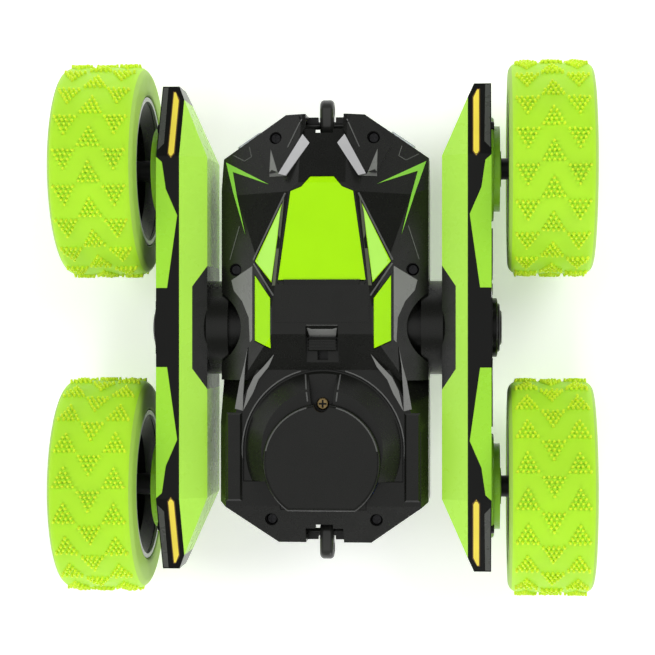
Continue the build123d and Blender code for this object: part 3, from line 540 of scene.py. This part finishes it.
def bow(centre_y, radius, width, start, end, steps=14):
    """Outline of a thin arc about a point on the middle line, angles in degrees from -Y towards +X."""
    turns = [math.radians(start + (end - start) * step / steps) for step in range(steps + 1)]
    out = [(radius * math.sin(turn), centre_y - radius * math.cos(turn)) for turn in turns]
    inner = radius - width
    return out + [(inner * math.sin(turn), centre_y - inner * math.cos(turn)) for turn in reversed(turns)]


PLATE_HALF_W, PLATE_FRONT, PLATE_REAR, PLATE_CORNER = 14.2, -14.4, -1.6, 2.7
DOOR_Y, DOOR_R = 36.8, 24.0
DOME_Y, DOME_R = 40.5, 17.7

# the nose slabs are light grey as a painted reflection in the glossy black
lay("nose_slab", [(6.4, -58.7), (4.2, -56.0), (10.9, -45.7), (13.2, -46.2)], "bright_painted_reflection",
    height=slab_height)
# the nose chip is grey as a painted reflection
lay("nose_chip", [(16.3, -54.3), (13.7, -47.0), (13.2, -46.2), (10.9, -45.7), (16.3, -45.7)], "grey_painted_reflection")
# thin raised lines, light grey as painted highlights along the edges
line("nose_pad_line", (6.9, -63.6), (10.9, -54.7), 0.32, "painted_highlight_line")
CORNER_LINES = [((28.6, -53.2), (24.8, -51.1)), ((24.8, -51.1), (22.6, -52.4)), ((22.6, -52.4), (23.5, -55.6))]
for number, (start, end) in enumerate(CORNER_LINES):
    line(f"corner_line_{number + 1}", start, end, 0.22, "painted_highlight_line")
lay("lime_flash", [(30.9, -51.0), (16.4, -43.3), (28.4, -47.8), (23.7, -28.1)], "lime_flash", lift=0.2)
# the groove line is grey-olive as a painted reflection
lay("panel_groove", [(11.2, -40.5), (12.6, -34.5), (15.0, -12.6), (14.0, -12.6), (11.7, -34.5)], "groove_painted_reflection")
# panel and flank edges, light grey as painted highlights
line("triangle_edge", (11.0, -40.4), (21.1, -20.4), 0.5, "painted_highlight_line", lift=0.2)
line("quad_edge", (21.0, -19.4), (14.6, -9.6), 0.45, "painted_highlight_line", lift=0.2)
line("flank_line", (25.7, -30.8), (28.9, -20.7), 0.25, "painted_highlight_line")
# the hub facets are grey as a painted reflection
lay("hub_facet", [(21.4, -18.6), (28.4, -14.4), (27.6, -11.3), (24.8, -8.0), (22.6, -3.0), (22.2, 4.5),
                  (21.4, 3.6), (21.4, -13.5)], "grey_painted_reflection")
# the raised ridges are grey as a painted highlight
lay("ridge_outer", [(22.9, 5.9), (24.0, 11.3), (25.3, 16.1), (26.8, 24.6), (24.4, 25.2), (24.3, 20.4),
                    (23.7, 11.3)], "grey_painted_reflection", height=ridge((22.9, 5.9), (24.4, 25.2), 0.25))
lay("ridge_inner", [(14.6, 8.0), (17.5, 11.4), (20.9, 14.9), (22.9, 19.0), (24.3, 25.2), (21.2, 19.8),
                    (19.5, 15.7), (16.4, 11.9)], "grey_painted_reflection", height=ridge((14.6, 8.0), (24.3, 25.2), 0.2))
corner_x, corner_y = PLATE_HALF_W - PLATE_CORNER, PLATE_FRONT + PLATE_CORNER
corner = arc(corner_x, corner_y, PLATE_CORNER, -90, 0, 6)
plate = corner + [(PLATE_HALF_W, PLATE_REAR), (-PLATE_HALF_W, PLATE_REAR)]
# pale lime patch over part of each triangle panel: a painted highlight
lay("panel_sheen", [(12.35, -36.6), (20.2, -19.9), (15.25, -14.0)], "lime_painted_highlight", lift=0.05)
lay("centre_plate", plate + [(-x, y) for x, y in reversed(corner)], "black_plastic", lift=0.3, sides=(1,))
lay("switch_lead", [(-4.7, -0.75), (4.7, -0.75), (3.9, 2.9), (-3.9, 2.9)], "grey_painted_reflection", lift=0.08,
    faces_z=(1,), sides=(1,))
# the door, dome and channel edges are light grey as painted highlights
lay("door_rim", bow(DOOR_Y, DOOR_R + 0.75, 0.35, 16, 100), "painted_highlight_line", lift=0.06, faces_z=(1,))
lay("dome_rim", bow(DOME_Y, DOME_R - 0.45, 0.4, 15, 78), "painted_highlight_line", lift=0.06, faces_z=(1,), tree="door",
    body="battery_door")
line("channel_edge", (5.3, 14.2), (4.3, 22.2), 0.4, "painted_highlight_line", lift=0.1, faces_z=(1,), tree="door",
     body="battery_door")


# ---- yellow stripes on the arm ends, and facets there grey as a painted reflection ----
RIDGE = ARM_RIDGE_X / MM
ARM_HALF_H = (arm_high[2] - arm_low[2]) / 2 / MM
ARM_HALF_L = arm_high[1] / MM
TAPER_START, END_HALF_H = 52.0, 6.5
STRIPE_X = (RIDGE + 1.7, RIDGE + 3.4)
STRIPE_Y = (53.0, ARM_HALF_L - 2.0)


def arm_top(y):
    """Height of the arm's top edge above the axle plane, in millimetres."""
    fall = (ARM_HALF_H - END_HALF_H) / (ARM_HALF_L - TAPER_START)
    return ARM_HALF_H - max(0.0, abs(y) - TAPER_START) * fall


def stripe_outline(margin, sy):
    x0, x1 = STRIPE_X[0] - margin, STRIPE_X[1] + margin
    y0, y1 = STRIPE_Y[0] - margin, STRIPE_Y[1] + margin
    middle = (x0 + x1) / 2
    points = [(x0, y0), (middle, y0 - 1.4), (x1, y0), (x1, y1), (middle + 0.3, y1), (x0, y1 - 2.6)]
    return [(x, sy * y) for x, y in points]


for side, sx in SIDES.items():
    for end, sy in ENDS.items():
        options = {"sides": (sx,), "body": f"{side}_arm"}
        lay(f"{end}_stripe_edge", stripe_outline(0.3, sy), "brown_print",
            height=lambda x, y, sz: arm_top(y) + 0.06, **options)
        lay(f"{end}_stripe", stripe_outline(0.0, sy), "yellow_print",
            height=lambda x, y, sz: arm_top(y) + 0.12, **options)
        # the end facets are grey as a painted reflection
        facet = [(48.6, 56.0), (50.4, 54.0), (50.4, ARM_HALF_L - 0.4), (48.9, ARM_HALF_L - 0.4)]
        lay(f"{end}_end_facet", [(x, sy * y) for x, y in facet], "dim_painted_reflection",
            height=lambda x, y, sz: arm_top(y) + 0.06, **options)


# ---- raised lines on the arm covers and rings on the hub caps, lighter as painted highlights, and dark plugs in the screw heads as painted shade ----
# Millimetres: X across the car, (Y, height above the axle plane) in the side's own plane.
ARM_FACE_X = 50.7
COVER_LINE_W, COVER_LINE_TOP = 0.2, ARM_FACE_X + 0.5
COVER_LINES = [((-5.3, 15.6), (-2.9, 10.9)), ((5.3, 15.6), (3.2, 10.6)), ((-3.9, -11.6), (-4.7, -15.6)),
               ((3.9, -11.6), (5.1, -15.6)), ((-3.9, -11.6), (3.9, -11.6)), ((-9.4, 9.7), (-12.9, 3.8)),
               ((-12.9, 3.8), (-14.9, 3.8)), ((-12.9, -2.6), (-9.4, -10.3)), ((-14.9, -2.6), (-12.9, -2.6)),
               ((10.0, 10.3), (13.4, 3.8)), ((13.4, -2.4), (9.4, -10.3)), ((9.4, -10.3), (10.3, -14.1)),
               ((10.3, -14.1), (17.0, -14.1))]
CAP_RING = {"inner": 8.25, "outer": 8.45, "x0": 52.5, "x1": 52.68}
CAP_RIM = {"inner": 4.85, "outer": 5.0, "x0": 53.8, "x1": 53.96}
RECESS_TURN, RECESS_SUNK, RECESS_DEPTH = 20.0, 0.08, 0.5
# half length and half width of each recess, and the height of the screw's head
ARM_SCREW = {"top": 50.9, "half_l": 1.19, "half_w": 0.285}
COVER_SCREW = {"top": 51.6, "half_l": 1.0, "half_w": 0.24}
WHEEL_SCREW = {"top": 80.6, "half_l": 1.15, "half_w": 0.275}
DOOR_SCREW = {"top": 18.5, "half_l": 1.2, "half_w": 0.285}
ARM_SCREW_AT = [(10.7, 13.5), (-10.7, -13.5)]
COVER_SCREW_AT = [(61.0, 10.0), (35.0, -10.7), (-61.0, 10.0), (-35.0, -10.7)]
DOOR_SCREW_Y = 23.0


def side_piece(name, outline, x0, x1, material, side, body):
    """A closed prism across the car, from an outline (Y, height above the axle plane) in millimetres. The
    right side is the left one turned about the vertical."""
    sx = SIDES[side]
    points = [(sx * x * MM, sx * y * MM, AXLE_Z + z * MM) for x in (x0, x1) for y, z in outline]
    count = len(outline)
    faces = [tuple(range(count - 1, -1, -1)), tuple(range(count, 2 * count))]
    for index in range(count):
        after = (index + 1) % count
        faces.append((index, after, count + after, count + index))
    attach(mesh_object(f"{side}_{name}", points, faces, materials[material]), body)


def strip(start, end, width):
    a, b = Vector(start), Vector(end)
    across = (b - a).normalized().orthogonal() * (width / 2)
    return [tuple(a - across), tuple(b - across), tuple(b + across), tuple(a + across)]


def cross(y, z, half_l, half_w, turn):
    """Outline of a Phillips recess about (y, z)."""
    out = []
    for quarter in range(4):
        angle = math.radians(turn + 90 * quarter)
        cosine, sine = math.cos(angle), math.sin(angle)
        for u, v in ((half_w, -half_w), (half_l, -half_w), (half_l, half_w)):
            out.append((y + u * cosine - v * sine, z + u * sine + v * cosine))
    return out


def ring_piece(name, inner, outer, x0, x1, material, side, body):
    """A thin flat ring about the hub's axis."""
    points, faces = [], []
    sx = SIDES[side]
    for step in range(TURNS):
        turn = 2 * math.pi * step / TURNS
        for x, radius in ((x0, inner), (x0, outer), (x1, outer), (x1, inner)):
            y, z = radius * math.cos(turn), radius * math.sin(turn)
            points.append((sx * x * MM, sx * y * MM, AXLE_Z + z * MM))
    for step in range(TURNS):
        here, there = 4 * step, 4 * ((step + 1) % TURNS)
        for index in range(4):
            after = (index + 1) % 4
            faces.append((here + index, there + index, there + after, here + after))
    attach(mesh_object(f"{side}_{name}", points, faces, materials[material]), body)


for side in SIDES:
    arm = f"{side}_arm"
    # the raised cover lines are lighter than the cover as a painted highlight
    for number, (start, end) in enumerate(COVER_LINES):
        side_piece(f"cover_line_{number + 1}", strip(start, end, COVER_LINE_W), ARM_FACE_X - 0.05,
                   COVER_LINE_TOP, "cover_line_painted_highlight", side, arm)
    # the hub cap ring is light grey as a painted highlight
    ring_piece("cap_ring", **CAP_RING, material="painted_highlight_line", side=side, body=arm)
    # the hub cap rim is grey as a painted highlight
    ring_piece("cap_rim", **CAP_RIM, material="dim_painted_reflection", side=side, body=arm)

for side, sx in SIDES.items():
    heads = [(y, z, ARM_SCREW, "arm") for y, z in ARM_SCREW_AT]
    heads += [(y, z, COVER_SCREW, "arm") for y, z in COVER_SCREW_AT]
    heads += [(sx * sy * AXLE_Y / MM, 0.0, WHEEL_SCREW, f"{end}_wheel") for end, sy in ENDS.items()]
    for number, (y, z, screw, body) in enumerate(heads):
        outline = cross(y, z, screw["half_l"], screw["half_w"], RECESS_TURN)
        # a dark plug just under each screw head's face: painted shade in the recess
        side_piece(f"screw_recess_{number + 1}", outline, screw["top"] - RECESS_DEPTH,
                   screw["top"] - RECESS_SUNK, "recess_shade", side, f"{side}_{body}")
# the door screw gets the same dark plug: painted shade in its recess
door_recess = cross(0.0, DOOR_SCREW_Y, DOOR_SCREW["half_l"], DOOR_SCREW["half_w"], 0.0)
lay("door_screw_recess", door_recess, "recess_shade", spacing=3.0,
    height=lambda x, y, sz: DOOR_SCREW["top"] - RECESS_SUNK, faces_z=(1,), sides=(1,), body="battery_door")


# ---- floor, light and camera ----
def sun(name, toward, strength, width, mirrored=False):
    """Soft even light from a direction, the same over the whole floor. Only a mirrored one shows as a
    highlight in glossy faces."""
    data = bpy.data.lights.new(name, "SUN")
    data.energy = strength
    data.angle = math.radians(width)
    lamp = bpy.data.objects.new(name, data)
    lamp.rotation_euler = Vector(toward).to_track_quat("Z", "Y").to_euler()
    lamp.visible_glossy = mirrored
    bpy.context.scene.collection.objects.link(lamp)


def pale_floor():
    material, tree, shader = new_material("floor_paper")
    tone = ramp(tree, noise(tree, 3.0), (0.88, 0.88, 0.885, 1), (0.92, 0.92, 0.92, 1))
    tree.links.new(tone, shader.inputs["Base Color"])
    shader.inputs["Roughness"].default_value = 0.9
    shader.inputs["Specular IOR Level"].default_value = 0.1
    shader.inputs["Emission Color"].default_value = (1, 1, 1, 1)
    shader.inputs["Emission Strength"].default_value = 0.36
    half = 30.0
    floor = mesh_object("floor", [(-half, -half, 0), (half, -half, 0), (half, half, 0), (-half, half, 0)],
                        [(0, 1, 2, 3)], material)


# brightness of the surroundings against the sine of the height above the horizon
WORLD_TONES = [(0.0, 1.05), (0.13, 0.95), (0.34, 0.34), (0.52, 0.1), (0.85, 0.12), (0.94, 0.6), (1.0, 0.7)]


def studio_world():
    """Bright walls round the table, a dark band above them and a dim soft light straight overhead."""
    world = bpy.data.worlds.new("studio")
    world.use_nodes = True
    tree = world.node_tree
    place = tree.nodes.new("ShaderNodeTexCoord")
    split = tree.nodes.new("ShaderNodeSeparateXYZ")
    tree.links.new(place.outputs["Generated"], split.inputs["Vector"])
    tone = tree.nodes.new("ShaderNodeValToRGB")
    stops = tone.color_ramp.elements
    stops[0].position, stops[0].color = WORLD_TONES[0][0], (WORLD_TONES[0][1],) * 3 + (1,)
    stops[1].position, stops[1].color = WORLD_TONES[-1][0], (WORLD_TONES[-1][1],) * 3 + (1,)
    for height, level in WORLD_TONES[1:-1]:
        stops.new(height).color = (level,) * 3 + (1,)
    tree.links.new(split.outputs["Z"], tone.inputs["Fac"])
    tree.links.new(tone.outputs["Color"], tree.nodes["Background"].inputs["Color"])
    bpy.context.scene.world = world


pale_floor()
studio_world()
sun("key_sun", (-0.6, -0.5, 0.8), 1.38, 35)
sun("fill_sun", (0.75, -0.15, 0.75), 1.04, 40)
sun("back_sun", (0.1, 0.8, 0.65), 1.04, 35)
sun("low_rear_glint", (-0.25, 0.88, 0.42), 0.3, 22, mirrored=True)
sun("low_side_glint", (0.85, 0.1, 0.33), 0.15, 22, mirrored=True)
sun("far_side_glint", (-0.85, 0.1, 0.33), 0.15, 22, mirrored=True)

scene = bpy.context.scene
scene.view_settings.view_transform = "Standard"

CAMERA_HEIGHT = 0.565        # above the axle plane
CAMERA_SIDE = -0.045
camera_data = bpy.data.cameras.new("camera")
camera_data.lens = 100.0
camera_data.sensor_width = 36.0
camera = bpy.data.objects.new("camera", camera_data)
camera.location = (CAMERA_SIDE, 0.0, AXLE_Z + CAMERA_HEIGHT)
aim = Vector((0, 0, AXLE_Z)) - camera.location
# image up is -Y, the car's front
right = aim.cross(Vector((0, -1, 0))).normalized()
up = right.cross(aim).normalized()
back = -aim.normalized()
camera.rotation_euler = Matrix((right, up, back)).transposed().to_euler()
scene.collection.objects.link(camera)
scene.camera = camera
